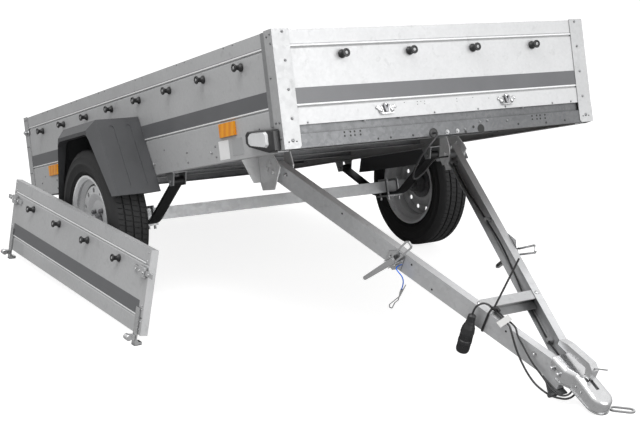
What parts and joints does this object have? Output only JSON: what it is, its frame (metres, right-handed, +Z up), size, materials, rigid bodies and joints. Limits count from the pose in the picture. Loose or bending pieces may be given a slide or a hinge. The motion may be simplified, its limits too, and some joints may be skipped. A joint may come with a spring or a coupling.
{
  "type": "utility trailer",
  "caption": "Single-axle box trailer with sheet-steel sides, tipped on its folding V drawbar, with its tailgate taken off.",
  "frame": {"origin": "bottom centre of the parked trailer's bounding box, on the floor", "axes": "+X towards the coupler, +Y to the trailer's left, +Z up"},
  "size_m": [3.2294, 1.8182, 1.0972],
  "materials": {
    "amber_lens": "prismatic",
    "black_paint": "satin black",
    "black_plastic": "moulded",
    "blue_strap": "woven strap",
    "cable_rubber": "smooth",
    "clear_lens": "clear moulded lens",
    "coupler_zinc": "zinc plated",
    "galvanised": "spangled zinc, satin",
    "guard_plastic": "fine grained",
    "hub_steel": "machined and zinc plated",
    "lamp_housing": "moulded",
    "plywood": "film faced, anti-slip",
    "red_lens": "prismatic",
    "tyre": "matt rubber",
    "wheel_silver": "silver paint"
  },
  "bodies": {
    "bed": {"side_wall_left": "galvanised", "side_wall_right": "galvanised", "front_wall": "galvanised", "floor_panel": "plywood", "front_posts": "galvanised", "rear_posts": "galvanised", "chassis_rail_left": "galvanised", "chassis_rail_right": "galvanised", "front_crossmember": "galvanised", "rear_crossmember": "galvanised", "crossmembers": "galvanised", "lashing_knobs": "black_plastic", "drawbar_catches": "galvanised", "axle": "galvanised", "leaf_springs": "black_paint", "spring_hangers": "galvanised", "axle_clamps": "galvanised", "mudguard_left": "guard_plastic", "mudguard_right": "guard_plastic", "marker_lamps": "lamp_housing", "marker_lenses": "clear_lens", "side_reflectors": "amber_lens", "rear_lamps": "red_lens", "pivot_brackets": "galvanised", "loom_cable": "cable_rubber"},
    "wheel_left": {"tyre_left": "tyre", "rim_left": "wheel_silver", "hub_left": "hub_steel"},
    "wheel_right": {"tyre_right": "tyre", "rim_right": "wheel_silver", "hub_right": "hub_steel"},
    "drawbar": {"drawbar_arm_left": "galvanised", "drawbar_arm_right": "galvanised", "drawbar_crossbar": "galvanised", "coupler_body": "coupler_zinc", "coupler_lever": "coupler_zinc", "support_foot": "galvanised", "toggle_latch_left": "coupler_zinc", "toggle_latch_right": "coupler_zinc", "arm_cable": "cable_rubber", "cable_clips": "galvanised", "plug_cable": "cable_rubber", "plug": "black_plastic", "safety_rope": "cable_rubber", "cable_tie": "black_plastic", "hook_rope": "cable_rubber", "snap_hook": "coupler_zinc", "lanyard": "blue_strap", "lanyard_clip": "coupler_zinc"},
    "tailgate": {"tailgate_panel": "galvanised", "tailgate_knobs": "black_plastic", "tailgate_hooks": "galvanised", "tailgate_latches": "galvanised"}
  },
  "joints": [
    {"name": "wheel_left_spin", "type": "hinge", "parent": "bed", "child": "wheel_left", "pos_m": [-0.37438, 0.81405, 0.278], "axis": [0, 1, 0], "continuous": true},
    {"name": "wheel_right_spin", "type": "hinge", "parent": "bed", "child": "wheel_right", "pos_m": [-0.37438, -0.71995, 0.278], "axis": [0, 1, 0], "continuous": true},
    {"name": "drawbar_fold", "type": "hinge", "parent": "bed", "child": "drawbar", "pos_m": [0.33199, 0.04705, 0.55935], "axis": [0, -1, 0], "range_deg": [-6, 38.26]},
    {"name": "tailgate_carry", "type": "slide", "parent": "bed", "child": "tailgate", "axis": [0, -1, 0], "range_m": [0, 0.5]}
  ]
}
